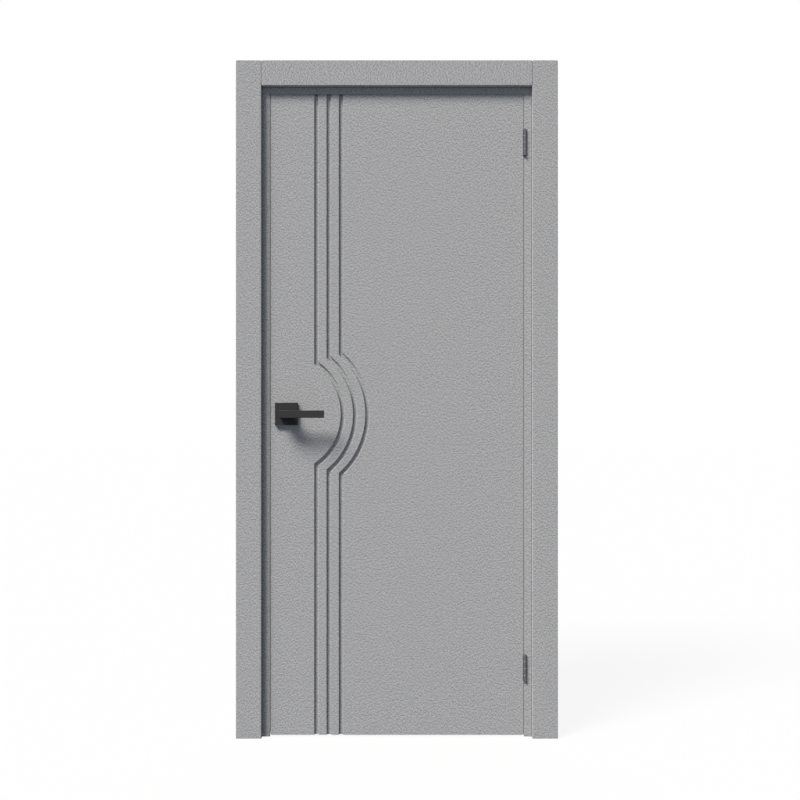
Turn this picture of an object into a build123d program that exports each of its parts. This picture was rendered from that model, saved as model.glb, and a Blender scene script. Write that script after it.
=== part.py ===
from build123d import *
import os
from math import sqrt

# Interior door set: a grooved leaf on two butt hinges in a lining with planted stops, cased on both sides.
# X = 0 is the wall-side face of the hinge jamb, Y = 0 the middle of the wall, Z = 0 the floor.
# The front faces -Y, the leaf runs from the hinge jamb towards -X. All sizes are in millimetres.

# Leaf and the gaps round it
leaf_width = 800.0
leaf_height = 2025.0
leaf_thickness = 40.0
leaf_edge_radius = 1.5
leaf_setback = 1.0
hinge_gap = 3.0
lock_gap = 5.0
head_gap = 5.0
floor_gap = 5.0
skin_thickness = 9.0
edging_floor = 1.5

# Milled grooves in both faces of the leaf, measured from the handle's axis towards the hinges
groove_width = 12.0
groove_depth = 6.5
groove_edge = 1.2
groove_start = 94.5
groove_pitch = 38.9
groove_bulge = 84.0
groove_half_chords = (160.0, 179.0, 190.0)

# Lining, stops and seals
wall_depth = 100.0
side_margin = 22.0
head_margin = 17.0
casing_overlap = 12.0
stop_thickness = 16.0
stop_gap = 5.0
seal_gap = 0.5
seal_width = 6.0
seal_fin = 2.6
seal_fin_depth = 6.0
kerf_clearance = 0.2
lip_base = 5.0
lip_nose = 2.0
hinge_lip_gap = 0.6
lock_lip_gap = 1.4
head_lip_gap = 0.6
lip_end_gap = 1.0

# Casings, with a tongue that seats in a groove along the edge of the lining
casing_width = 80.0
casing_thickness = 18.0
casing_radius = 2.0
casing_corner = 3.0
tongue_thickness = 6.0
tongue_inset = 3.0
tongue_length = 16.0
tongue_clearance = 0.2

# Plates let in flush: hinge plates, latch faceplate and strike plate
plate_thickness = 2.5
plate_clearance = 0.2
plate_corner = 5.0

# Butt hinges
bottom_hinge_rise = 212.5
top_hinge_drop = 152.0
barrel_radius = 6.0
barrel_lead = 1.3
barrel_offset = 3.3
barrel_clearance = 0.4
knuckle_count = 4
knuckle_length = 20.0
knuckle_edge = 0.8
washer_thickness = 0.8
washer_clearance = 0.1
washer_sides = 16
pin_radius = 3.5
pin_clearance = 0.05
pin_inset = 0.5
hinge_plate_depth = 30.0

# Lever handle
backset = 50.0
handle_height = 1020.0
rosette_size = 70.8
rosette_thickness = 10.0
rosette_edge = 0.6
lever_reach = 123.0
lever_tail = 19.5
lever_height = 23.0
lever_thickness = 10.0
lever_projection = 52.0
lever_bend = 12.0
lever_corner = 2.0
lever_edge = 0.8
lever_gap = 0.5
boss_radius = 9.0
boss_clearance = 0.05
spindle_size = 8.0
spindle_clearance = 0.1
spindle_socket = 25.0
spindle_bore_radius = 11.0

# Tubular latch and its strike plate
faceplate_width = 25.0
faceplate_height = 57.0
latch_tube_radius = 11.0
latch_tube_length = 32.0
latch_clearance = 0.2
bolt_width = 12.0
bolt_height = 16.0
bolt_length = 28.0
bolt_bevel = 9.0
bolt_flat = 2.0
strike_height = 60.0
strike_hole_clearance = 1.0
strike_pocket_depth = 14.0

# Places worked out from the sizes above
jamb_thickness = side_margin + casing_overlap
head_thickness = head_margin + casing_overlap
edging_thickness = plate_thickness + edging_floor
jamb_front = -wall_depth / 2
jamb_back = wall_depth / 2
hinge_jamb_face = -jamb_thickness
leaf_hinge_edge = hinge_jamb_face - hinge_gap
leaf_lock_edge = leaf_hinge_edge - leaf_width
lock_jamb_face = leaf_lock_edge - lock_gap
lock_jamb_wall = lock_jamb_face - jamb_thickness
leaf_front = jamb_front + leaf_setback
leaf_back = leaf_front + leaf_thickness
leaf_middle = leaf_front + leaf_thickness / 2
leaf_bottom = floor_gap
leaf_top = leaf_bottom + leaf_height
head_face = leaf_top + head_gap
head_wall = head_face + head_thickness
stop_front = leaf_back + stop_gap
hinge_stop_face = hinge_jamb_face - stop_thickness
lock_stop_face = lock_jamb_face + stop_thickness
head_stop_face = head_face - stop_thickness
hinge_casing_edge = -casing_overlap
lock_casing_edge = lock_jamb_wall + casing_overlap
head_casing_edge = head_wall - casing_overlap
casing_top = head_casing_edge + casing_width
handle_x = leaf_lock_edge + backset
hinge_heights = {"bottom": leaf_bottom + bottom_hinge_rise, "top": leaf_top - top_hinge_drop}
hinge_axis_x = leaf_hinge_edge + barrel_offset
hinge_axis_y = jamb_front - barrel_lead
barrel_back = hinge_axis_y + barrel_radius + barrel_clearance
knuckle_pitch = knuckle_length + washer_thickness + 2 * washer_clearance
barrel_length = knuckle_count * knuckle_pitch - washer_thickness - 2 * washer_clearance
jamb_side = Plane(origin=(hinge_jamb_face, jamb_front, 0), x_dir=(0, 1, 0), z_dir=(1, 0, 0))
leaf_side = Plane(origin=(leaf_hinge_edge, leaf_front, 0), x_dir=(0, 1, 0), z_dir=(1, 0, 0))
strike_side = Plane(origin=(lock_jamb_face, leaf_middle, handle_height), x_dir=(0, 1, 0), z_dir=(1, 0, 0))
latch_side = Plane(origin=(leaf_lock_edge, leaf_middle, handle_height), x_dir=(0, 1, 0), z_dir=(1, 0, 0))

os.makedirs("parts", exist_ok=True)


def save(piece, name):
    """Label a finished piece and write it as its own STEP file."""
    piece.part.label = name
    export_step(piece.part, f"parts/{name}.step")


def block(low, high, mode=Mode.ADD):
    """Add or cut a box between two opposite corners in the part being built."""
    with Locations(low):
        Box(*(b - a for a, b in zip(low, high)), align=(Align.MIN, Align.MIN, Align.MIN), mode=mode)


def knuckle_bottom(centre, index):
    """Height of the lower face of one knuckle, counted from the bottom of the barrel."""
    return centre - barrel_length / 2 + index * knuckle_pitch


def barrel_hollow(centre):
    """Cut the round hollow that a hinge barrel lies in from the part being built."""
    with Locations((hinge_axis_x, hinge_axis_y, centre)):
        Cylinder(barrel_radius + barrel_clearance, barrel_length + 2 * plate_clearance, mode=Mode.SUBTRACT)


# Side jambs: boards grooved along both edges for the casing tongues
for name, wall, face, tongue_side in (
    ("hinge_jamb", 0.0, hinge_jamb_face, -1),
    ("lock_jamb", lock_jamb_wall, lock_jamb_face, 1),
):
    tongue_middle = wall + tongue_side * (casing_overlap - tongue_inset - tongue_thickness / 2)
    groove_half = tongue_thickness / 2 + tongue_clearance
    with BuildPart() as jamb:
        block((min(wall, face), jamb_front, 0), (max(wall, face), jamb_back, head_wall))
        for edge, inward in ((jamb_front, 1), (jamb_back, -1)):
            floor = edge + inward * (tongue_length + tongue_clearance)
            block((tongue_middle - groove_half, min(edge, floor), 0),
                  (tongue_middle + groove_half, max(edge, floor), head_wall), Mode.SUBTRACT)
        if name == "hinge_jamb":
            with BuildSketch(jamb_side) as recesses:
                with Locations(*((0, centre) for centre in hinge_heights.values())):
                    Rectangle(hinge_plate_depth + plate_clearance, barrel_length + 2 * plate_clearance,
                              align=(Align.MIN, Align.CENTER))
                fillet(recesses.vertices().group_by(Axis.X)[-1], plate_corner + plate_clearance)
            extrude(amount=plate_thickness, mode=Mode.SUBTRACT)
            for centre in hinge_heights.values():
                barrel_hollow(centre)
        else:
            with BuildSketch(strike_side):
                RectangleRounded(faceplate_width + 2 * plate_clearance, strike_height + 2 * plate_clearance,
                                 plate_corner + plate_clearance)
            extrude(amount=-plate_thickness, mode=Mode.SUBTRACT)
            with BuildSketch(strike_side):
                Rectangle(bolt_width + 2 * strike_hole_clearance, bolt_height + 2 * strike_hole_clearance)
            extrude(amount=-strike_pocket_depth, mode=Mode.SUBTRACT)
    save(jamb, name)

# Head jamb between the side jambs, grooved in the same way
with BuildPart() as head_jamb:
    block((lock_jamb_face, jamb_front, head_face), (hinge_jamb_face, jamb_back, head_wall))
    tongue_middle = head_casing_edge + tongue_inset + tongue_thickness / 2
    groove_half = tongue_thickness / 2 + tongue_clearance
    for edge, inward in ((jamb_front, 1), (jamb_back, -1)):
        floor = edge + inward * (tongue_length + tongue_clearance)
        block((lock_jamb_face, min(edge, floor), tongue_middle - groove_half),
              (hinge_jamb_face, max(edge, floor), tongue_middle + groove_half), Mode.SUBTRACT)
save(head_jamb, "head_jamb")

# Planted stops, each with a kerf for its seal in the face that the leaf closes against
stop_boxes = {
    "hinge": ((hinge_stop_face, 0), (hinge_jamb_face, head_face)),
    "lock": ((lock_jamb_face, 0), (lock_stop_face, head_face)),
    "head": ((lock_stop_face, head_stop_face), (hinge_stop_face, head_face)),
}
seal_middles = {
    "hinge": (leaf_hinge_edge + hinge_stop_face) / 2,
    "lock": (leaf_lock_edge + lock_stop_face) / 2,
    "head": (leaf_top + head_stop_face) / 2,
}
for side, (low, high) in stop_boxes.items():
    across = 1 if side == "head" else 0
    kerf_low, kerf_high = list(low), list(high)
    kerf_low[across] = seal_middles[side] - seal_fin / 2 - kerf_clearance
    kerf_high[across] = seal_middles[side] + seal_fin / 2 + kerf_clearance
    with BuildPart() as stop:
        block((low[0], stop_front, low[1]), (high[0], jamb_back, high[1]))
        block((kerf_low[0], stop_front, kerf_low[1]),
              (kerf_high[0], stop_front + seal_fin_depth + kerf_clearance, kerf_high[1]), Mode.SUBTRACT)
    save(stop, f"{side}_stop")

# Bulb seals: a round-nosed strip on a fin that is pushed into the kerf
nose_centre = leaf_back + seal_gap + seal_width / 2
for side, (low, high) in stop_boxes.items():
    if side == "head":
        run = Plane(origin=(low[0], 0, seal_middles[side]), x_dir=(0, 0, -1), z_dir=(1, 0, 0))
        length = high[0] - low[0]
    else:
        run = Plane(origin=(seal_middles[side], 0, low[1]), x_dir=(1, 0, 0), z_dir=(0, 0, 1))
        length = high[1] - low[1]
    with BuildPart() as seal:
        with BuildSketch(run):
            with BuildLine():
                ThreePointArc((-seal_width / 2, nose_centre), (0, leaf_back + seal_gap), (seal_width / 2, nose_centre))
                Polyline((seal_width / 2, nose_centre), (seal_width / 2, stop_front), (seal_fin / 2, stop_front),
                         (seal_fin / 2, stop_front + seal_fin_depth), (-seal_fin / 2, stop_front + seal_fin_depth),
                         (-seal_fin / 2, stop_front), (-seal_width / 2, stop_front), (-seal_width / 2, nose_centre))
            make_face()
        extrude(amount=length)
    save(seal, f"{side}_seal")

# Lip seals on the lining: soft wedges that close the gaps round the leaf flush with its front
lip_reaches = {"lock": lock_gap - lock_lip_gap, "hinge": hinge_gap - hinge_lip_gap, "head": head_gap - head_lip_gap}
hinge_clear = barrel_length / 2 + lip_end_gap
hinge_starts = (0, *(centre + hinge_clear for centre in hinge_heights.values()))
hinge_ends = (*(centre - hinge_clear for centre in hinge_heights.values()), head_face)
head_start, head_end = lock_jamb_face + lip_reaches["lock"], hinge_jamb_face - lip_reaches["hinge"]
lip_runs = {
    "lock": [(Plane(origin=(lock_jamb_face, 0, 0), x_dir=(1, 0, 0), z_dir=(0, 0, 1)), head_face)],
    "hinge": [(Plane(origin=(hinge_jamb_face, 0, end), x_dir=(-1, 0, 0), z_dir=(0, 0, -1)), end - start)
              for start, end in zip(hinge_starts, hinge_ends)],
    "head": [(Plane(origin=(head_start, 0, head_face), x_dir=(0, 0, -1), z_dir=(1, 0, 0)), head_end - head_start)],
}
for side, runs in lip_runs.items():
    with BuildPart() as lip:
        for run, length in runs:
            with BuildSketch(run):
                with BuildLine():
                    Polyline((0, leaf_front), (lip_reaches[side], leaf_front), (lip_reaches[side], leaf_front + lip_nose),
                             (0, leaf_front + lip_base), close=True)
                make_face()
            extrude(amount=length)
    save(lip, f"{side}_lip_seal")

# Casings on the front and the back: full-height side boards with the head board between them
for room, wall_face, out in (("front", jamb_front, -1), ("back", jamb_back, 1)):
    show_face = wall_face + out * casing_thickness
    tongue_end = wall_face - out * tongue_length
    for side, edge, outward in (("hinge", hinge_casing_edge, 1), ("lock", lock_casing_edge, -1)):
        outer = edge + outward * casing_width
        tongue = sorted((edge + outward * tongue_inset, edge + outward * (tongue_inset + tongue_thickness)))
        with BuildPart() as casing:
            block((min(edge, outer), min(wall_face, show_face), 0),
                  (max(edge, outer), max(wall_face, show_face), casing_top))
            chamfer(casing.edges().filter_by(Axis.Y).group_by(Axis.Z)[-1], casing_corner)
            fillet(casing.faces().sort_by(Axis.Y)[0 if out < 0 else -1].edges(), casing_radius)
            block((tongue[0], min(wall_face, tongue_end), 0), (tongue[1], max(wall_face, tongue_end), head_wall))
        save(casing, f"{room}_{side}_casing")

    tongue_low = head_casing_edge + tongue_inset
    with BuildPart() as head_casing:
        block((lock_casing_edge, min(wall_face, show_face), head_casing_edge),
              (hinge_casing_edge, max(wall_face, show_face), casing_top))
        chamfer(head_casing.edges().filter_by(Axis.Y), casing_corner)
        fillet(head_casing.faces().sort_by(Axis.Y)[0 if out < 0 else -1].edges(), casing_radius)
        block((lock_jamb_face, min(wall_face, tongue_end), tongue_low),
              (hinge_jamb_face, max(wall_face, tongue_end), tongue_low + tongue_thickness))
    save(head_casing, f"{room}_head_casing")

# Leaf core, bored for the spindle and for the latch tube
with BuildPart() as leaf_core:
    block((leaf_lock_edge + edging_thickness, leaf_front + skin_thickness, leaf_bottom),
          (leaf_hinge_edge - edging_thickness, leaf_back - skin_thickness, leaf_top))
    with Locations(Plane(origin=(handle_x, leaf_middle, handle_height), z_dir=(0, 1, 0))):
        Cylinder(spindle_bore_radius, leaf_thickness, mode=Mode.SUBTRACT)
    with Locations(Plane(origin=(leaf_lock_edge, leaf_middle, handle_height), z_dir=(1, 0, 0))):
        Cylinder(latch_tube_radius + latch_clearance, plate_thickness + latch_tube_length + latch_clearance,
                 align=(Align.CENTER, Align.CENTER, Align.MIN), mode=Mode.SUBTRACT)
save(leaf_core, "leaf_core")

# Leaf skins: each face has three grooves that run straight and bow round the handle on an arc
groove_ends = (leaf_bottom - groove_width, leaf_top + groove_width)
for room, face, inward in (("front", leaf_front, 1), ("back", leaf_back, -1)):
    inner = face + inward * skin_thickness
    with BuildPart() as skin:
        block((leaf_lock_edge + edging_thickness, min(face, inner), leaf_bottom),
              (leaf_hinge_edge - edging_thickness, max(face, inner), leaf_top))
        for index, half_chord in enumerate(groove_half_chords):
            line_x = handle_x + groove_start + index * groove_pitch
            radius = (half_chord ** 2 + groove_bulge ** 2) / (2 * groove_bulge)
            centre_x = line_x + groove_bulge - radius
            with BuildSketch(Plane(origin=(0, face, 0), x_dir=(1, 0, 0), z_dir=(0, -1, 0))):
                with BuildLine():
                    for reach in (-groove_width / 2, groove_width / 2):
                        wall_x = line_x + reach
                        corner = sqrt((radius + reach) ** 2 - (wall_x - centre_x) ** 2)
                        Line((wall_x, groove_ends[0]), (wall_x, handle_height - corner))
                        ThreePointArc((wall_x, handle_height - corner), (centre_x + radius + reach, handle_height),
                                      (wall_x, handle_height + corner))
                        Line((wall_x, handle_height + corner), (wall_x, groove_ends[1]))
                    for end in groove_ends:
                        Line((line_x - groove_width / 2, end), (line_x + groove_width / 2, end))
                make_face()
            extrude(amount=-inward * groove_depth, mode=Mode.SUBTRACT)
        show = skin.edges().filter_by_position(Axis.Y, face, face)
        inside = (leaf_lock_edge + 2 * edging_thickness, leaf_hinge_edge - 2 * edging_thickness)
        lips = show.filter_by(Axis.X, reverse=True).filter_by_position(Axis.X, *inside)
        chamfer(lips, groove_edge)
        with Locations(Plane(origin=(handle_x, (face + inner) / 2, handle_height), z_dir=(0, 1, 0))):
            Cylinder(spindle_bore_radius, skin_thickness, mode=Mode.SUBTRACT)
    save(skin, f"leaf_{room}_skin")

# Edgings that close the long edges of the leaf, let in for the hinge plates and the latch faceplate
with BuildPart() as hinge_edging:
    block((leaf_hinge_edge - edging_thickness, leaf_front, leaf_bottom), (leaf_hinge_edge, leaf_back, leaf_top))
    fillet(hinge_edging.faces().sort_by(Axis.X)[-1].edges().filter_by(Axis.Z), leaf_edge_radius)
    with BuildSketch(leaf_side) as recesses:
        with Locations(*((0, centre) for centre in hinge_heights.values())):
            Rectangle(hinge_plate_depth + plate_clearance, barrel_length + 2 * plate_clearance,
                      align=(Align.MIN, Align.CENTER))
        fillet(recesses.vertices().group_by(Axis.X)[-1], plate_corner + plate_clearance)
    extrude(amount=-plate_thickness, mode=Mode.SUBTRACT)
    for centre in hinge_heights.values():
        barrel_hollow(centre)
save(hinge_edging, "hinge_side_edging")

with BuildPart() as lock_edging:
    block((leaf_lock_edge, leaf_front, leaf_bottom), (leaf_lock_edge + edging_thickness, leaf_back, leaf_top))
    fillet(lock_edging.faces().sort_by(Axis.X)[0].edges().filter_by(Axis.Z), leaf_edge_radius)
    with BuildSketch(latch_side):
        RectangleRounded(faceplate_width + 2 * plate_clearance, faceplate_height + 2 * plate_clearance,
                         plate_corner + plate_clearance)
    extrude(amount=plate_thickness, mode=Mode.SUBTRACT)
    with BuildSketch(latch_side):
        Circle(latch_tube_radius + latch_clearance)
    extrude(amount=edging_thickness, mode=Mode.SUBTRACT)
save(lock_edging, "lock_side_edging")

# Butt hinges: plates with alternating knuckles, many-sided washers between the knuckles, and a plain pin
for place, centre in hinge_heights.items():
    for owner, side, face, into, knuckles in (
        ("jamb", jamb_side, hinge_jamb_face, 1, range(0, knuckle_count, 2)),
        ("leaf", leaf_side, leaf_hinge_edge, -1, range(1, knuckle_count, 2)),
    ):
        with BuildPart() as plate:
            with BuildSketch(side) as outline:
                with Locations((0, centre)):
                    Rectangle(hinge_plate_depth, barrel_length, align=(Align.MIN, Align.CENTER))
                fillet(outline.vertices().group_by(Axis.X)[-1], plate_corner)
            extrude(amount=into * plate_thickness)
            barrel_hollow(centre)
            back = face + into * plate_thickness
            for index in knuckles:
                low = knuckle_bottom(centre, index)
                shoulder = low + knuckle_length - knuckle_edge
                with Locations((hinge_axis_x, hinge_axis_y, low)):
                    Cylinder(barrel_radius, knuckle_length - knuckle_edge,
                             align=(Align.CENTER, Align.CENTER, Align.MIN))
                with Locations((hinge_axis_x, hinge_axis_y, shoulder)):
                    Cone(barrel_radius, barrel_radius - knuckle_edge, knuckle_edge,
                         align=(Align.CENTER, Align.CENTER, Align.MIN))
                block((min(face, back), hinge_axis_y, low), (max(face, back), barrel_back, shoulder))
            with Locations((hinge_axis_x, hinge_axis_y, centre)):
                Cylinder(pin_radius + pin_clearance, barrel_length, mode=Mode.SUBTRACT)
        save(plate, f"{place}_hinge_{owner}_plate")

    with BuildPart() as washers:
        for index in range(1, knuckle_count):
            low = knuckle_bottom(centre, index) - washer_clearance - washer_thickness
            with BuildSketch(Plane.XY.offset(low)):
                with Locations((hinge_axis_x, hinge_axis_y)):
                    RegularPolygon(barrel_radius - knuckle_edge, washer_sides)
                    RegularPolygon(pin_radius + pin_clearance, washer_sides, major_radius=False, mode=Mode.SUBTRACT)
            extrude(amount=washer_thickness)
    save(washers, f"{place}_hinge_washers")

    with BuildPart() as pin:
        with Locations((hinge_axis_x, hinge_axis_y, centre)):
            Cylinder(pin_radius, barrel_length - 2 * pin_inset)
    save(pin, f"{place}_hinge_pin")

# Tubular latch: faceplate and tube in one, with the bevelled bolt drawn back flush
with BuildPart() as latch_case:
    with BuildSketch(latch_side):
        RectangleRounded(faceplate_width, faceplate_height, plate_corner)
    extrude(amount=plate_thickness)
    with BuildSketch(latch_side.offset(plate_thickness)):
        Circle(latch_tube_radius)
    extrude(amount=latch_tube_length)
    with BuildSketch(latch_side):
        Rectangle(bolt_width + 2 * latch_clearance, bolt_height + 2 * latch_clearance)
    extrude(amount=plate_thickness + latch_tube_length, mode=Mode.SUBTRACT)
save(latch_case, "latch_case")

with BuildPart() as latch_bolt:
    with BuildSketch(Plane.XY.offset(handle_height - bolt_height / 2)):
        with BuildLine():
            near, far = leaf_middle - bolt_width / 2, leaf_middle + bolt_width / 2
            Polyline((leaf_lock_edge, near), (leaf_lock_edge, near + bolt_flat), (leaf_lock_edge + bolt_bevel, far),
                     (leaf_lock_edge + bolt_length, far), (leaf_lock_edge + bolt_length, near), close=True)
        make_face()
    extrude(amount=bolt_height)
save(latch_bolt, "latch_bolt")

# Strike plate, flush in the lock jamb
with BuildPart() as strike_plate:
    with BuildSketch(strike_side):
        RectangleRounded(faceplate_width, strike_height, plate_corner)
        Rectangle(bolt_width + 2 * strike_hole_clearance, bolt_height + 2 * strike_hole_clearance,
                  mode=Mode.SUBTRACT)
    extrude(amount=-plate_thickness)
save(strike_plate, "strike_plate")

# Square rosettes and cranked levers on both faces
for room, face, out in (("front", leaf_front, -1), ("back", leaf_back, 1)):
    with BuildPart() as rosette:
        with BuildSketch(Plane(origin=(handle_x, face, handle_height), x_dir=(1, 0, 0), z_dir=(0, out, 0))):
            Rectangle(rosette_size, rosette_size)
            Circle(boss_radius + boss_clearance, mode=Mode.SUBTRACT)
        extrude(amount=rosette_thickness)
        show_face = rosette.faces().sort_by(Axis.Y)[0 if out < 0 else -1]
        chamfer(show_face.outer_wire().edges(), rosette_edge)
    save(rosette, f"{room}_rosette")

    grip_out = face + out * lever_projection
    grip_in = grip_out - out * lever_thickness
    neck_seat = face + out * (rosette_thickness + lever_gap)
    with BuildPart() as lever:
        with BuildSketch(Plane.XY.offset(handle_height - lever_height / 2)) as outline:
            with BuildLine():
                Polyline((handle_x - lever_tail, neck_seat), (handle_x - lever_tail, grip_out),
                         (handle_x + lever_reach, grip_out), (handle_x + lever_reach, grip_in),
                         (handle_x + lever_tail, grip_in), (handle_x + lever_tail, neck_seat), close=True)
            make_face()
            corners = outline.vertices()
            crook = corners.sort_by_distance((handle_x + lever_tail, grip_in, 0))[0]
            outer = corners.group_by(Axis.X)[-1] + [corners.sort_by_distance((handle_x - lever_tail, grip_out, 0))[0]]
            fillet(crook, lever_bend)
            fillet(outer, lever_corner)
        extrude(amount=lever_height)
        chamfer(lever.faces().filter_by(Axis.Z).edges(), lever_edge)
        with BuildSketch(Plane(origin=(handle_x, neck_seat, handle_height), x_dir=(1, 0, 0), z_dir=(0, -out, 0))):
            Circle(boss_radius)
        extrude(amount=rosette_thickness)
        with BuildSketch(Plane(origin=(handle_x, face + out * lever_gap, handle_height), x_dir=(1, 0, 0),
                               z_dir=(0, out, 0))):
            Rectangle(spindle_size + 2 * spindle_clearance, spindle_size + 2 * spindle_clearance)
        extrude(amount=spindle_socket, mode=Mode.SUBTRACT)
    save(lever, f"{room}_lever")

# Square spindle that joins the two levers through the leaf
with BuildPart() as spindle:
    reach = leaf_thickness / 2 + lever_gap + spindle_socket - spindle_clearance
    with Locations((handle_x, leaf_middle, handle_height)):
        Box(spindle_size, 2 * reach, spindle_size)
save(spindle, "spindle")
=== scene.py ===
"""Looks of a grooved interior door set: filmed boards, finished fittings, screws, filler and a studio."""

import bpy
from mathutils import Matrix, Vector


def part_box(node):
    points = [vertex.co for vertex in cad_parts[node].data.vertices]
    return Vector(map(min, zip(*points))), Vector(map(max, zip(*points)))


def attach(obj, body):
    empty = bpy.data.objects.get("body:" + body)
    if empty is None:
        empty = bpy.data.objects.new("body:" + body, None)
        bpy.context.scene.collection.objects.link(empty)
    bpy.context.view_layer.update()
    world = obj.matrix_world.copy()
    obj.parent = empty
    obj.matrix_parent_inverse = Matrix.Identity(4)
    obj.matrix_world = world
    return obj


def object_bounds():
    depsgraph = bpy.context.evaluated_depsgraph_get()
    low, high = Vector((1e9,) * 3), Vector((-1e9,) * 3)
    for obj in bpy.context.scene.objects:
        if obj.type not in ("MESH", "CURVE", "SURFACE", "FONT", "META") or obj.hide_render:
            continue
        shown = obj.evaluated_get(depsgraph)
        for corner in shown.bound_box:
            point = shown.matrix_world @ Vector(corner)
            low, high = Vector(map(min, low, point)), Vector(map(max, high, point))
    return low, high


bl_info = {
    "name": "Grooved Interior Door",
    "version": (1, 0, 0),
    "blender": (4, 5, 0),
    "location": "View3D > Sidebar > Door",
    "description": "Finishes the boards and fittings of an interior door set, adds its screws and a studio",
    "category": "Object",
}

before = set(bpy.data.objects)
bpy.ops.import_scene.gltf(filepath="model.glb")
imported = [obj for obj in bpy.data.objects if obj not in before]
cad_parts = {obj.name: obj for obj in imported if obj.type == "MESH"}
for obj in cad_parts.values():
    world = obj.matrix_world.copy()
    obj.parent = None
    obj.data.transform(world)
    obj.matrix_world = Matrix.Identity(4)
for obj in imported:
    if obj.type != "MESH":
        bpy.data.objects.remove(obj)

from math import radians

import bpy
from bpy.props import FloatProperty, FloatVectorProperty, IntProperty, PointerProperty
from mathutils import Vector

CAD_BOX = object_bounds()
MM = 0.001

NOISE_MIDDLE = 0.5              # mean height of a noise texture
COAT_ROUGHNESS = (0.5, 0.7)     # least and most roughness of the powder coat
RUBBER_ROUGHNESS = (0.55, 0.85)
BLOOM_SIZE = 8 * MM             # size of the cloudy patches on rubber
HINGE_ROUGHNESS = 0.3
LATCH_ROUGHNESS = 0.28
POLISH_STRETCH = 0.04           # width of a polishing line as a share of its length
POLISH_GLOSS = 0.06             # change of roughness from line to line

SMOOTH_ANGLE = radians(35)      # edges that are sharper stay hard
LEVEL_FACE = 0.9                # least upright share in the normal of a level face
UPRIGHT_FACE = 0.5              # most upright share in the normal of an upright face
GRUB_CHAMFER = 0.12             # of the grub screw's radius
SOCKET_SIDES = 6
# The beads and butt fillers below are dark filler that stands in for the shade in the joints: painted
# shade.
BEAD_ROUND = 0.6                # of the bead's depth
EDGE_REACH = 0.25               # of the bead's width, within which a corner counts as on its free edge
BUTT_SINK = 0.6                 # depth of a butt filler under the casing's face, in joint widths
BUTT_FOOT, BUTT_HEAD = 2, 3     # ends of a butt joint left without filler, in joint widths

LAMP_RISE = 1.0                 # height of the lamps over the door
LEVEL_LOOK = radians(90)        # tilt of a camera that looks straight ahead
BACK_SKY_FROM = 0.5             # share of Y in a direction from which the sky turns into the back sky


def linear(hex_colour):
    """Linear RGBA of an sRGB hex colour such as "A2A2A3"."""
    shares = [int(hex_colour[at:at + 2], 16) / 255 for at in (0, 2, 4)]
    return (*(s / 12.92 if s <= 0.04045 else ((s + 0.055) / 1.055) ** 2.4 for s in shares), 1.0)


def colour_property(name, description, hex_colour):
    """Colour setting whose default is an sRGB hex value."""
    return FloatVectorProperty(name=name, description=description, subtype="COLOR", size=4,
                               min=0.0, max=1.0, default=linear(hex_colour))


def length_property(name, description, millimetres):
    """Length setting whose default is given in millimetres."""
    return FloatProperty(name=name, description=description, subtype="DISTANCE", unit="LENGTH", min=0.0,
                         precision=5, default=millimetres * MM)


class DoorFinish(bpy.types.PropertyGroup):
    """Colours and grain sizes of the boards and fittings."""

    # The film's two greys are the ends of its random grain tone and also its painted highlight and painted
    # shade, one on each flank of a pebble; the grain flank and flank shade below set where and how much
    # shade is painted.
    film_grain_painted_highlight_colour: colour_property(
        "Film, lit flanks", "Grey of the lit flanks of the printed grain", "C3C3C4")
    film_grain_painted_shade_colour: colour_property(
        "Film, shaded flanks", "Grey of the shaded flanks of the grain", "767677")
    film_grain_across: length_property("Grain across", "Width of a grain pebble across the board", 4.4)
    film_grain_inwards: length_property("Grain inwards", "Size of a grain pebble through the board", 3.8)
    film_grain_along: length_property("Grain along", "Height of a grain pebble along the board", 3.6)
    film_painted_flank_step: length_property("Grain flank", "Distance from the lit to the shaded flank of a pebble", 4.6)
    film_painted_shade_share: FloatProperty(
        name="Flank shade", description="How much of the next pebble shades a pebble's flank",
        subtype="FACTOR", min=0.0, max=1.0, default=0.36)
    film_reach: FloatProperty(
        name="Grain reach", description="Change of height that takes the film to its end tones",
        min=0.05, max=2.0, default=0.46)
    film_grain_depth: length_property("Grain depth", "Depth of the embossing", 0.2)
    board_colour: colour_property("Board", "Brown of the bare fibreboard core", "B39268")
    board_fibre_colour: colour_property("Board fibres", "Darker fibres in the bare fibreboard", "94744C")
    board_fibre: length_property("Fibre size", "Length of the fibre clumps in the cut board", 3.0)
    coat_colour: colour_property("Handle coat", "Black of the powder coat on the handle", "383839")
    coat_grain: length_property("Coat grain", "Size of the powder coat's fine texture", 1.6)
    graphite_colour: colour_property("Hinge plating", "Dark graphite of the hinge plating", "6A6B6E")
    washer_colour: colour_property("Washers", "Bright steel of the hinge washers", "C8C8CA")
    nickel_colour: colour_property(
        "Latch plating", "Nickel plating of the latch, strike plate and spindle", "B9B6AE")
    brush_width: length_property("Brush line", "Width of the polishing lines on the plated steel", 0.8)
    # This dark grey is the real colour of the bulb seals and also the painted shade of the joint filler.
    seal_and_painted_shade_colour: colour_property("Seal", "Dark grey of the bulb seals", "4A4A4C")
    lip_colour: colour_property("Lip seal", "Grey of the lip seals, matched to the film", "A0A0A1")
    # The joint beads are painted shade: dark filler along the joints, where the shade falls.
    joint_width: length_property("Joint bead", "Width of the bead between the casings and the lining", 1.0)


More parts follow.
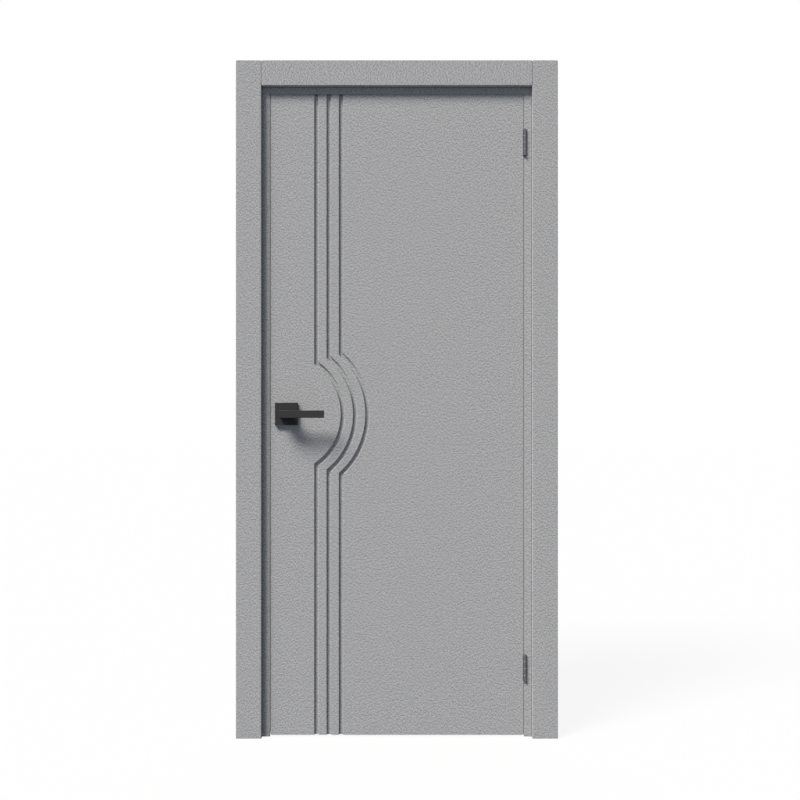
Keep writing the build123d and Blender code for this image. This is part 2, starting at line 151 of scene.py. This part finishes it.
class DoorScrews(bpy.types.PropertyGroup):
    """Sizes of the screws in the hinges, the latch, the strike plate and the levers."""

    head_radius: length_property("Head radius", "Radius of a raised countersunk head", 3.8)
    head_rise: length_property("Head rise", "Height of the domed head over its plate", 0.7)
    head_sink: length_property("Head sink", "Depth of the cone that is let into the plate", 1.2)
    shank_share: FloatProperty(name="Cone share", description="Foot of the cone as a share of the head",
                               subtype="FACTOR", min=0.1, max=1.0, default=0.6)
    recess_reach: length_property("Recess reach", "Length of each arm of the cross recess", 2.1)
    recess_width: length_property("Recess width", "Width of the arms of the cross recess", 0.9)
    recess_depth: length_property("Recess depth", "Depth of the cross recess", 1.1)
    head_segments: IntProperty(
        name="Segments", description="Sides of a screw head", min=12, max=64, default=32)
    hinge_pitch: length_property("Hinge pitch", "Height between the screws of a hinge plate", 27.0)
    hinge_stagger: length_property("Hinge stagger", "Sideways stagger of the screws of a hinge plate", 6.0)
    latch_pitch: length_property("Latch pitch", "Height between the screws of the latch faceplate", 42.0)
    strike_pitch: length_property("Strike pitch", "Height between the screws of the strike plate", 44.0)
    grub_radius: length_property("Grub radius", "Radius of the grub screw under a lever", 2.5)
    grub_length: length_property("Grub length", "Length of the grub screw under a lever", 2.0)
    socket_radius: length_property("Socket radius", "Corner radius of the grub screw's hexagon socket", 1.4)


class DoorStage(bpy.types.PropertyGroup):
    """Camera, lamps and floor of the studio."""

    camera_place: FloatVectorProperty(name="Camera", description="Place of the lens", subtype="TRANSLATION",
                                      unit="LENGTH", size=3, default=(-0.4281, -2.783, 1.064))
    lens: FloatProperty(name="Lens", description="Focal length on a 36 mm sensor", min=1.0, default=38.9)
    sun_way: FloatVectorProperty(name="Sun", description="Way in which the sunlight travels",
                                 subtype="DIRECTION", size=3, default=(1.18, 1.0, -2.05))
    sun_fan: FloatProperty(
        name="Sun fan", description="Sideways step between the lamps that make up the sun",
        min=0.0, default=0.38)
    sun_count: IntProperty(
        name="Sun lamps", description="Lamps side by side in the sun", min=1, max=7, default=3)
    sun_spread: FloatProperty(
        name="Sun spread", description="Angle of a lamp's disc, which softens shadows",
        subtype="ANGLE", unit="ROTATION", min=0.0, default=radians(18))
    sun_strength: FloatProperty(
        name="Sun strength", description="Irradiance of all the lamps", min=0.0, default=5.95)
    sun_colour: FloatVectorProperty(name="Sun colour", description="Faintly warm sunlight", subtype="COLOR",
                                    size=3, min=0.0, max=1.0, default=(1.0, 0.975, 0.925))
    sky_front: FloatVectorProperty(
        name="Front sky", description="Cool skylight on the front", subtype="COLOR",
        size=4, min=0.0, default=(0.238, 0.259, 0.301, 1.0))
    sky_back: FloatVectorProperty(
        name="Back sky", description="Brighter skylight on the back", subtype="COLOR",
        size=4, min=0.0, default=(1.6, 1.6, 1.6, 1.0))
    floor_size: length_property("Floor", "Side of the square floor", 40000.0)
    floor_white: FloatProperty(
        name="Floor white", description="Share of the floor that shows as plain white",
        subtype="FACTOR", min=0.0, max=1.0, default=0.9)
    floor_colour: colour_property("Floor colour", "Colour of the floor's paint", "BFBFBF")


def add_node(tree, kind, settings=None, inputs=None):
    """Add a node with settings; an input, by its identifier, is a constant or an output socket to link."""
    node = tree.nodes.new(kind)
    for key, value in (settings or {}).items():
        setattr(node, key, value)
    sockets = {socket.identifier: socket for socket in node.inputs}
    for key, value in (inputs or {}).items():
        if isinstance(value, bpy.types.NodeSocket):
            tree.links.new(value, sockets[key])
        else:
            sockets[key].default_value = value
    return node


def new_tree(name):
    """New material with an empty node tree, and its object coordinates."""
    material = bpy.data.materials.new(name)
    material.use_nodes = True
    tree = material.node_tree
    tree.nodes.clear()
    place = add_node(tree, "ShaderNodeTexCoord").outputs["Object"]
    return material, tree, place


def embossed_film(name, finish, grain, flank):
    """Vinyl film wrapped on fibreboard, with its grain's size and the step along X, Y and Z from each
    pebble's painted highlight to its painted shade.
    """
    # Dull satin grey with small pebbles of random tone, each with a painted highlight on one flank and
    # painted shade on the other.
    # A real pebble is finer; it is drawn coarser so that the grain still shows across a room.
    material, tree, place = new_tree(name)
    heights = []
    for step in ((0, 0, 0), flank):
        spread = add_node(tree, "ShaderNodeMapping", inputs={
            "Vector": place, "Location": [part / size for part, size in zip(step, grain)],
            "Scale": [1 / size for size in grain]})
        heights.append(add_node(tree, "ShaderNodeTexNoise", inputs={
            "Vector": spread.outputs["Vector"], "Scale": 1.0, "Detail": 0.0}).outputs["Fac"])
    # Painted shade: the next pebble's height along the step is taken off each pebble's height, which paints
    # a highlight on one flank and shade on the other.
    painted_flank_shade = add_node(tree, "ShaderNodeMath", {"operation": "MULTIPLY_ADD"}, {
        "Value": heights[1], "Value_001": -finish.film_painted_shade_share, "Value_002": heights[0]})
    middle = NOISE_MIDDLE * (1 - finish.film_painted_shade_share)
    share = add_node(tree, "ShaderNodeMapRange", inputs={
        "Value": painted_flank_shade.outputs["Value"], "From Min": middle - finish.film_reach,
        "From Max": middle + finish.film_reach})
    # Painted highlight and shade: the grain's tone runs from the painted shade grey to the painted
    # highlight grey.
    tone = add_node(tree, "ShaderNodeMix", {"data_type": "RGBA"}, {
        "Factor_Float": share.outputs["Result"], "A_Color": finish.film_grain_painted_shade_colour,
        "B_Color": finish.film_grain_painted_highlight_colour})
    relief = add_node(tree, "ShaderNodeBump", inputs={
        "Strength": 1.0, "Distance": finish.film_grain_depth, "Height": heights[0]})
    shader = add_node(tree, "ShaderNodeBsdfPrincipled", inputs={
        "Base Color": tone.outputs["Result"], "Roughness": 0.62, "IOR": 1.5, "Specular IOR Level": 0.08,
        "Normal": relief.outputs["Normal"]})
    add_node(tree, "ShaderNodeOutputMaterial", inputs={"Surface": shader.outputs["BSDF"]})
    return material


def bare_fibreboard(finish):
    """Medium-density fibreboard, cut and left bare."""
    # Dry matt brown with clumps of darker fibre, soft at the cut.
    material, tree, place = new_tree("bare_fibreboard")
    fibres = add_node(tree, "ShaderNodeTexNoise", inputs={
        "Vector": place, "Scale": 1 / finish.board_fibre, "Detail": 6.0, "Roughness": 0.7})
    tone = add_node(tree, "ShaderNodeMix", {"data_type": "RGBA"}, {
        "Factor_Float": fibres.outputs["Fac"], "A_Color": finish.board_fibre_colour,
        "B_Color": finish.board_colour})
    relief = add_node(tree, "ShaderNodeBump", inputs={
        "Strength": 0.5, "Distance": 0.1 * MM, "Height": fibres.outputs["Fac"]})
    shader = add_node(tree, "ShaderNodeBsdfPrincipled", inputs={
        "Base Color": tone.outputs["Result"], "Roughness": 0.95, "Specular IOR Level": 0.2,
        "Normal": relief.outputs["Normal"]})
    add_node(tree, "ShaderNodeOutputMaterial", inputs={"Surface": shader.outputs["BSDF"]})
    return material


def powder_coated_zinc(finish):
    """Zinc die casting under a fine-textured black powder coat."""
    # Matt charcoal black with a fine grit that breaks up what little gloss it has.
    material, tree, place = new_tree("powder_coated_zinc")
    grit = add_node(tree, "ShaderNodeTexNoise", inputs={
        "Vector": place, "Scale": 1 / finish.coat_grain, "Detail": 3.0, "Roughness": 0.6})
    relief = add_node(tree, "ShaderNodeBump", inputs={
        "Strength": 0.4, "Distance": 0.06 * MM, "Height": grit.outputs["Fac"]})
    sheen = add_node(tree, "ShaderNodeMapRange", inputs={
        "Value": grit.outputs["Fac"], "To Min": COAT_ROUGHNESS[0], "To Max": COAT_ROUGHNESS[1]})
    shader = add_node(tree, "ShaderNodeBsdfPrincipled", inputs={
        "Base Color": finish.coat_colour, "Roughness": sheen.outputs["Result"], "IOR": 1.5,
        "Specular IOR Level": 0.06, "Normal": relief.outputs["Normal"]})
    add_node(tree, "ShaderNodeOutputMaterial", inputs={"Surface": shader.outputs["BSDF"]})
    return material


def plated_steel(name, colour, roughness, finish):
    """Steel, polished with fine lines and plated."""
    # Metal that mirrors the studio softly, with faint upright polishing lines in its gloss.
    material, tree, place = new_tree(name)
    width = finish.brush_width
    lines = add_node(tree, "ShaderNodeMapping", inputs={
        "Vector": place, "Scale": (1 / width, 1 / width, POLISH_STRETCH / width)})
    polish = add_node(tree, "ShaderNodeTexNoise", inputs={
        "Vector": lines.outputs["Vector"], "Scale": 1.0, "Detail": 3.0, "Roughness": 0.6})
    gloss = add_node(tree, "ShaderNodeMapRange", inputs={
        "Value": polish.outputs["Fac"],
        "To Min": roughness - POLISH_GLOSS, "To Max": roughness + POLISH_GLOSS})
    relief = add_node(tree, "ShaderNodeBump", inputs={
        "Strength": 0.15, "Distance": 0.03 * MM, "Height": polish.outputs["Fac"]})
    shader = add_node(tree, "ShaderNodeBsdfPrincipled", inputs={
        "Base Color": colour, "Metallic": 1.0, "Roughness": gloss.outputs["Result"],
        "Normal": relief.outputs["Normal"]})
    add_node(tree, "ShaderNodeOutputMaterial", inputs={"Surface": shader.outputs["BSDF"]})
    return material


def extruded_rubber(name, colour):
    """Soft rubber strip, extruded; also the dark filler of the joints, which looks alike and stands in for
    their shade as painted shade.
    """
    # Dull grey with a faint, uneven bloom in its gloss.
    material, tree, place = new_tree(name)
    bloom = add_node(tree, "ShaderNodeTexNoise", inputs={
        "Vector": place, "Scale": 1 / BLOOM_SIZE, "Detail": 3.0})
    dull = add_node(tree, "ShaderNodeMapRange", inputs={
        "Value": bloom.outputs["Fac"], "To Min": RUBBER_ROUGHNESS[0], "To Max": RUBBER_ROUGHNESS[1]})
    shader = add_node(tree, "ShaderNodeBsdfPrincipled", inputs={
        "Base Color": colour, "Roughness": dull.outputs["Result"], "IOR": 1.5, "Specular IOR Level": 0.1})
    add_node(tree, "ShaderNodeOutputMaterial", inputs={"Surface": shader.outputs["BSDF"]})
    return material


def nodes_ending(*endings):
    """Names of the CAD nodes that end in one of the given words."""
    return [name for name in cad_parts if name.endswith(endings)]


def give(material, *objects):
    """Put one material in every slot of the given objects."""
    for piece in objects:
        piece.data.materials.clear()
        piece.data.materials.append(material)


def give_nodes(material, names):
    """Put one material on the named CAD nodes."""
    give(material, *(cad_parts[name] for name in names))


def edit(kind):
    """Go into edit mode on the active object with one kind of element, and nothing selected."""
    bpy.ops.object.mode_set(mode="EDIT")
    bpy.ops.mesh.select_mode(type=kind)
    bpy.ops.mesh.select_all(action="DESELECT")


def select_where(kind, test):
    """Select the faces or vertices of the active mesh whose place passes a test."""
    bpy.ops.object.mode_set(mode="OBJECT")
    mesh = bpy.context.object.data
    for face in mesh.polygons:
        face.select = kind == "FACE" and test(face)
    if kind == "VERT":
        for edge in mesh.edges:
            edge.select = False
        for vertex in mesh.vertices:
            vertex.select = test(vertex)
    bpy.ops.object.mode_set(mode="EDIT")


def cut_away(piece, cutter):
    """Cut one mesh out of another and remove the cutter."""
    bpy.ops.object.mode_set(mode="OBJECT")
    bpy.ops.object.select_all(action="DESELECT")
    bpy.context.view_layer.objects.active = piece
    cut = piece.modifiers.new("recess", "BOOLEAN")
    cut.operation = "DIFFERENCE"
    cut.solver = "EXACT"
    cut.object = cutter
    bpy.ops.object.modifier_apply(modifier=cut.name)
    bpy.data.objects.remove(cutter)
    if not piece.data.polygons:
        raise RuntimeError(f"The recess took away the whole of {piece.name}")


def raised_screw(sizes):
    """Raised countersunk screw head with a cross recess, upright, with its plate's face at Z = 0."""
    bpy.ops.object.select_all(action="DESELECT")
    bpy.ops.mesh.primitive_uv_sphere_add(segments=sizes.head_segments, ring_count=sizes.head_segments // 2,
                                         radius=sizes.head_radius, location=(0, 0, 0))
    head = bpy.context.object
    bpy.ops.object.mode_set(mode="EDIT")
    bpy.ops.mesh.select_all(action="SELECT")
    bpy.ops.transform.resize(value=(1, 1, sizes.head_rise / sizes.head_radius))
    bpy.ops.mesh.bisect(plane_co=(0, 0, 0), plane_no=(0, 0, 1), clear_inner=True, use_fill=True)
    bpy.ops.mesh.select_mode(type="FACE")
    select_where("FACE", lambda face: face.normal.z < -LEVEL_FACE)
    bpy.ops.mesh.extrude_region_move(TRANSFORM_OT_translate={"value": (0, 0, -sizes.head_sink)})
    bpy.ops.transform.resize(value=(sizes.shank_share, sizes.shank_share, 1))
    bpy.ops.object.mode_set(mode="OBJECT")

    bpy.ops.object.select_all(action="DESELECT")
    bpy.ops.mesh.primitive_cube_add(size=sizes.recess_width, location=(0, 0, 0))
    cross = bpy.context.object
    edit("FACE")
    select_where("FACE", lambda face: abs(face.normal.z) < UPRIGHT_FACE)
    arm = sizes.recess_reach - sizes.recess_width / 2
    bpy.ops.mesh.extrude_faces_move(TRANSFORM_OT_shrink_fatten={"value": arm})
    bpy.ops.mesh.select_all(action="SELECT")
    bpy.ops.transform.resize(value=(1, 1, 2 * sizes.recess_depth / sizes.recess_width))
    bpy.ops.transform.translate(value=(0, 0, sizes.head_rise))
    select_where("VERT", lambda vertex: vertex.co.z < sizes.head_rise)
    bpy.ops.transform.resize(value=(sizes.shank_share, sizes.shank_share, 1))
    cut_away(head, cross)
    return head


def grub_screw(sizes):
    """Grub screw with a hexagon socket, upright, with its end face at Z = 0."""
    bpy.ops.object.select_all(action="DESELECT")
    bpy.ops.mesh.primitive_cylinder_add(vertices=sizes.head_segments, radius=sizes.grub_radius,
                                        depth=2 * sizes.grub_length, location=(0, 0, -sizes.grub_length))
    grub = bpy.context.object
    edit("FACE")
    select_where("FACE", lambda face: face.normal.z > LEVEL_FACE)
    bpy.ops.mesh.bevel(offset=sizes.grub_radius * GRUB_CHAMFER, segments=2, affect="EDGES")
    bpy.ops.object.mode_set(mode="OBJECT")
    bpy.ops.object.select_all(action="DESELECT")
    bpy.ops.mesh.primitive_cylinder_add(vertices=SOCKET_SIDES, radius=sizes.socket_radius,
                                        depth=2 * sizes.grub_length, location=(0, 0, 0))
    socket = bpy.context.object
    cut_away(grub, socket)
    return grub


def set_screw(pattern, name, seat, way, body, material):
    """Copy a screw to its seat with its head facing a way, and let it ride on a body."""
    screw = pattern.copy()
    screw.data = pattern.data.copy()
    screw.name = screw.data.name = name
    bpy.context.scene.collection.objects.link(screw)
    bpy.ops.object.select_all(action="DESELECT")
    screw.select_set(True)
    bpy.context.view_layer.objects.active = screw
    screw.location = seat
    screw.rotation_euler = Vector(way).to_track_quat("Z", "Y").to_euler()
    bpy.ops.object.transform_apply(location=True, rotation=True, scale=True)
    bpy.ops.object.shade_smooth_by_angle(angle=SMOOTH_ANGLE)
    give(material, screw)
    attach(screw, body)


def painted_shade_bead(name, low, high, material, free_edge=None):
    """Bar of dark filler between two corners, a line of painted shade in a joint; a free edge is rounded
    off, as a finger leaves it.
    """
    bpy.ops.object.select_all(action="DESELECT")
    bpy.ops.mesh.primitive_cube_add(size=1.0, location=(0, 0, 0))
    bead = bpy.context.object
    bead.name = bead.data.name = name
    bpy.ops.object.mode_set(mode="EDIT")
    bpy.ops.mesh.select_all(action="SELECT")
    bpy.ops.transform.resize(value=high - low)
    bpy.ops.transform.translate(value=(low + high) / 2)
    if free_edge:
        bpy.ops.mesh.select_mode(type="VERT")
        select_where("VERT", free_edge)
        bpy.ops.mesh.bevel(offset=BEAD_ROUND * (high.y - low.y), segments=3, affect="EDGES")
    bpy.ops.object.mode_set(mode="OBJECT")
    bpy.ops.object.shade_smooth_by_angle(angle=SMOOTH_ANGLE)
    give(material, bead)
    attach(bead, "frame")


class DOOR_OT_finish_boards(bpy.types.Operator):
    """Wrap the lining, stops, casings and leaf in grey film, and leave the leaf's core bare"""

    bl_idname = "door.finish_boards"
    bl_label = "Finish boards"

    def execute(self, context):
        finish = context.scene.door_finish
        across, inwards = finish.film_grain_across, finish.film_grain_inwards
        along, flank = finish.film_grain_along, finish.film_painted_flank_step
        boards = nodes_ending("_jamb", "_stop", "_casing", "_skin", "_edging")
        level = [name for name in boards if "head" in name]
        upright = [name for name in boards if name not in level]
        # Each pebble's painted highlight and shade step upward on upright boards and sideways on level
        # ones.
        film = embossed_film("vinyl_film_upright", finish, (across, inwards, along), (0, 0, flank))
        give_nodes(film, upright)
        film = embossed_film("vinyl_film_level", finish, (along, inwards, across), (flank, 0, 0))
        give_nodes(film, level)
        give_nodes(bare_fibreboard(finish), ["leaf_core"])
        return {"FINISHED"}


class DOOR_OT_finish_seals(bpy.types.Operator):
    """Give the bulb seals and the lip seals their rubber"""

    bl_idname = "door.finish_seals"
    bl_label = "Finish seals"

    def execute(self, context):
        finish = context.scene.door_finish
        lips = nodes_ending("_lip_seal")
        give_nodes(extruded_rubber("dark_seal_rubber", finish.seal_and_painted_shade_colour),
                   [name for name in nodes_ending("_seal") if name not in lips])
        give_nodes(extruded_rubber("grey_lip_rubber", finish.lip_colour), lips)
        return {"FINISHED"}


class DOOR_OT_fill_joints(bpy.types.Operator):
    """Fill the joints of the casings with the lining and with each other in thin dark lines of painted
    shade
    """

    bl_idname = "door.fill_joints"
    bl_label = "Fill joints"

    def execute(self, context):
        width = context.scene.door_finish.joint_width
        # Painted shade: the filler takes the seals' dark grey to stand in for the shade in the joints.
        filler = extruded_rubber("painted_shade_joint_filler", context.scene.door_finish.seal_and_painted_shade_colour)
        for room, out in (("front", -1), ("back", 1)):
            hinge, lock, head = (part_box(f"{room}_{side}_casing") for side in ("hinge", "lock", "head"))
            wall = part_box("head_jamb")[0 if out < 0 else 1].y
            front = wall + out * width
            near, far = sorted((wall, front))
            left, right, top = lock[1].x, hinge[0].x, head[0].z
            for side, low, high in (
                ("hinge", Vector((right - width, near, 0)), Vector((right, far, top - width))),
                ("lock", Vector((left, near, 0)), Vector((left + width, far, top - width))),
                ("head", Vector((left, near, top - width)), Vector((right, far, top))),
            ):
                inner = {"hinge": low.x, "lock": high.x, "head": low.z}[side]
                axis = 2 if side == "head" else 0
                reach = EDGE_REACH * width
                painted_shade_bead(f"{room}_{side}_painted_shade_bead", low, high, filler, lambda vertex: (
                    abs(vertex.co[axis] - inner) < reach and abs(vertex.co.y - front) < reach))
            # Painted shade in the butt joints of the head casing with the side casings, sunk under the
            # casing's face.
            show = hinge[0].y if out < 0 else hinge[1].y
            near, far = sorted((show - out * BUTT_SINK * width, show - out * (BUTT_SINK + 1) * width))
            foot, end = top + BUTT_FOOT * width, head[1].z - BUTT_HEAD * width
            for side, seam in (("hinge", right), ("lock", left)):
                painted_shade_bead(f"{room}_{side}_butt_painted_shade", Vector((seam - width / 2, near, foot)),
                           Vector((seam + width / 2, far, end)), filler)
        return {"FINISHED"}


class DOOR_OT_finish_handles(bpy.types.Operator):
    """Coat the rosettes and levers, and add the grub screw under each lever"""

    bl_idname = "door.finish_handles"
    bl_label = "Finish handles"

    def execute(self, context):
        coat = powder_coated_zinc(context.scene.door_finish)
        give_nodes(coat, nodes_ending("_rosette", "_lever"))
        pattern = grub_screw(context.scene.door_screws)
        axis = (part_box("spindle")[0].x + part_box("spindle")[1].x) / 2
        for room in ("front", "back"):
            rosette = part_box(f"{room}_rosette")
            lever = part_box(f"{room}_lever")
            outer = lever[0].y if room == "front" else lever[1].y
            face = rosette[0].y if room == "front" else rosette[1].y
            # A third of the way from the rosette's face to the lever's outer face.
            seat = Vector((axis, (outer + 2 * face) / 3, lever[0].z))
            set_screw(pattern, f"{room}_lever_grub_screw", seat, (0, 0, -1),
                      "lever_handle", coat)
        bpy.data.objects.remove(pattern)
        return {"FINISHED"}


class DOOR_OT_finish_hinges(bpy.types.Operator):
    """Plate the hinges, brighten their washers and add three staggered screws to each plate"""

    bl_idname = "door.finish_hinges"
    bl_label = "Finish hinges"

    def execute(self, context):
        finish, sizes = context.scene.door_finish, context.scene.door_screws
        graphite = plated_steel("graphite_plated_steel", finish.graphite_colour, HINGE_ROUGHNESS, finish)
        give_nodes(graphite, nodes_ending("_jamb_plate", "_leaf_plate", "_pin"))
        bright = plated_steel("bright_washer_steel", finish.washer_colour, HINGE_ROUGHNESS, finish)
        give_nodes(bright, nodes_ending("_washers"))
        pattern = raised_screw(sizes)
        jamb_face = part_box("head_jamb")[1].x
        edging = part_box("hinge_side_edging")
        for name in nodes_ending("_jamb_plate", "_leaf_plate"):
            low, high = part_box(name)
            on_jamb = name.endswith("_jamb_plate")
            face, way, body = (jamb_face, -1, "frame") if on_jamb else (edging[1].x, 1, "door_leaf")
            middle, centre = (edging[0].y + high.y) / 2, (low.z + high.z) / 2
            for index, row in enumerate((-1, 0, 1)):
                aside = sizes.hinge_stagger * (abs(row) - 0.5)
                seat = (face, middle + aside, centre + row * sizes.hinge_pitch)
                set_screw(pattern, f"{name}_screw_{index + 1}", seat, (way, 0, 0), body,
                          graphite)
        bpy.data.objects.remove(pattern)
        return {"FINISHED"}


class DOOR_OT_finish_latch(bpy.types.Operator):
    """Plate the latch, strike plate and spindle, and add the screws of the two plates"""

    bl_idname = "door.finish_latch"
    bl_label = "Finish latch"

    def execute(self, context):
        finish, sizes = context.scene.door_finish, context.scene.door_screws
        nickel = plated_steel("nickel_plated_steel", finish.nickel_colour, LATCH_ROUGHNESS, finish)
        give_nodes(nickel, ["latch_case", "latch_bolt", "strike_plate", "spindle"])
        pattern = raised_screw(sizes)
        for name, corner, way, body, pitch in (
            ("latch_case", 0, -1, "door_leaf", sizes.latch_pitch),
            ("strike_plate", 1, 1, "frame", sizes.strike_pitch),
        ):
            low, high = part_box(name)
            middle = (low + high) / 2
            for index, side in enumerate((-1, 1)):
                seat = ((low, high)[corner].x, middle.y, middle.z + side * pitch / 2)
                set_screw(pattern, f"{name}_screw_{index + 1}", seat, (way, 0, 0), body,
                          nickel)
        bpy.data.objects.remove(pattern)
        return {"FINISHED"}


class DOOR_OT_set_stage(bpy.types.Operator):
    """Set up the floor, sun, sky and camera"""

    bl_idname = "door.set_stage"
    bl_label = "Set stage"

    def execute(self, context):
        stage = context.scene.door_stage
        bpy.ops.object.select_all(action="DESELECT")
        bpy.ops.mesh.primitive_plane_add(size=stage.floor_size, location=(0, 0, 0))
        floor = context.object
        floor.name = "floor"
        give(white_floor(stage), floor)

        for index in range(stage.sun_count):
            step = (index - (stage.sun_count - 1) / 2) * stage.sun_fan
            way = Vector(stage.sun_way) + Vector((step, 0, 0))
            bpy.ops.object.light_add(type="SUN", location=(step, 0, CAD_BOX[1].z + LAMP_RISE))
            sun = context.object
            sun.name = f"sun_{index + 1}"
            sun.rotation_euler = way.to_track_quat("-Z", "Y").to_euler()
            sun.data.energy = stage.sun_strength / stage.sun_count
            sun.data.angle = stage.sun_spread
            sun.data.color = stage.sun_colour

        light_sky(context.scene, stage)
        bpy.ops.object.camera_add(location=stage.camera_place, rotation=(LEVEL_LOOK, 0, 0))
        camera = context.object
        camera.name = "camera"
        camera.data.lens = stage.lens
        context.scene.camera = camera
        context.scene.view_settings.view_transform = "Standard"
        return {"FINISHED"}


def seen_as_white(tree):
    """Socket that is 1 for the rays that show the background: camera, glossy and transmission rays."""
    path = add_node(tree, "ShaderNodeLightPath")
    mirrored = add_node(tree, "ShaderNodeMath", {"operation": "MAXIMUM"}, {
        "Value": path.outputs["Is Glossy Ray"], "Value_001": path.outputs["Is Transmission Ray"]})
    shown = add_node(tree, "ShaderNodeMath", {"operation": "MAXIMUM"}, {
        "Value": path.outputs["Is Camera Ray"], "Value_001": mirrored.outputs["Value"]})
    return shown.outputs["Value"]


def white_floor(stage):
    """Painted studio floor that shows as white, keeps a faint shadow and gives off the sky's light."""
    # Plain matt paint, mostly even white to the camera; it lights the door from below like the sky.
    material, tree, _ = new_tree("studio_paint")
    paint = add_node(tree, "ShaderNodeBsdfDiffuse", inputs={"Color": stage.floor_colour})
    white = add_node(tree, "ShaderNodeEmission", inputs={"Color": (1, 1, 1, 1), "Strength": 1.0})
    shown = add_node(tree, "ShaderNodeMixShader", inputs={
        "Fac": stage.floor_white, "Shader": paint.outputs["BSDF"], "Shader_001": white.outputs["Emission"]})
    bounce = add_node(tree, "ShaderNodeEmission", inputs={"Color": stage.sky_front, "Strength": 1.0})
    both = add_node(tree, "ShaderNodeMixShader", inputs={
        "Fac": seen_as_white(tree), "Shader": bounce.outputs["Emission"],
        "Shader_001": shown.outputs["Shader"]})
    add_node(tree, "ShaderNodeOutputMaterial", inputs={"Surface": both.outputs["Shader"]})
    return material


def light_sky(scene, stage):
    """Sky that lights the front coolly and the back more, and shows as white."""
    world = bpy.data.worlds.new("studio_sky")
    scene.world = world
    world.use_nodes = True
    tree = world.node_tree
    tree.nodes.clear()
    way = add_node(tree, "ShaderNodeTexCoord").outputs["Generated"]
    axes = add_node(tree, "ShaderNodeSeparateXYZ", inputs={"Vector": way})
    behind = add_node(tree, "ShaderNodeMapRange", inputs={
        "Value": axes.outputs["Y"], "From Min": BACK_SKY_FROM})
    glow = add_node(tree, "ShaderNodeMix", {"data_type": "RGBA"}, {
        "Factor_Float": behind.outputs["Result"], "A_Color": stage.sky_front, "B_Color": stage.sky_back})
    sky = add_node(tree, "ShaderNodeBackground", inputs={"Color": glow.outputs["Result"], "Strength": 1.0})
    white = add_node(tree, "ShaderNodeBackground", inputs={"Color": (1, 1, 1, 1), "Strength": 1.0})
    both = add_node(tree, "ShaderNodeMixShader", inputs={
        "Fac": seen_as_white(tree), "Shader": sky.outputs["Background"],
        "Shader_001": white.outputs["Background"]})
    add_node(tree, "ShaderNodeOutputWorld", inputs={"Surface": both.outputs["Shader"]})


class DOOR_PT_panel(bpy.types.Panel):
    """Steps and settings of the door in the sidebar"""

    bl_idname = "DOOR_PT_panel"
    bl_label = "Door"
    bl_space_type = "VIEW_3D"
    bl_region_type = "UI"
    bl_category = "Door"

    def draw(self, context):
        for step in STEPS:
            self.layout.operator(step.bl_idname)
        for settings in (context.scene.door_finish, context.scene.door_screws, context.scene.door_stage):
            box = self.layout.box()
            for key in settings.__annotations__:
                box.prop(settings, key)


STEPS = (DOOR_OT_finish_boards, DOOR_OT_finish_seals, DOOR_OT_fill_joints, DOOR_OT_finish_handles,
         DOOR_OT_finish_hinges, DOOR_OT_finish_latch, DOOR_OT_set_stage)
CLASSES = (DoorFinish, DoorScrews, DoorStage, *STEPS, DOOR_PT_panel)


def register():
    for cls in CLASSES:
        bpy.utils.register_class(cls)
    bpy.types.Scene.door_finish = PointerProperty(type=DoorFinish)
    bpy.types.Scene.door_screws = PointerProperty(type=DoorScrews)
    bpy.types.Scene.door_stage = PointerProperty(type=DoorStage)


def unregister():
    for name in ("door_finish", "door_screws", "door_stage"):
        delattr(bpy.types.Scene, name)
    for cls in reversed(CLASSES):
        bpy.utils.unregister_class(cls)


def main():
    register()
    bpy.ops.door.finish_boards()
    bpy.ops.door.finish_seals()
    bpy.ops.door.fill_joints()
    bpy.ops.door.finish_handles()
    bpy.ops.door.finish_hinges()
    bpy.ops.door.finish_latch()
    bpy.ops.door.set_stage()


if __name__ == "__main__":
    main()
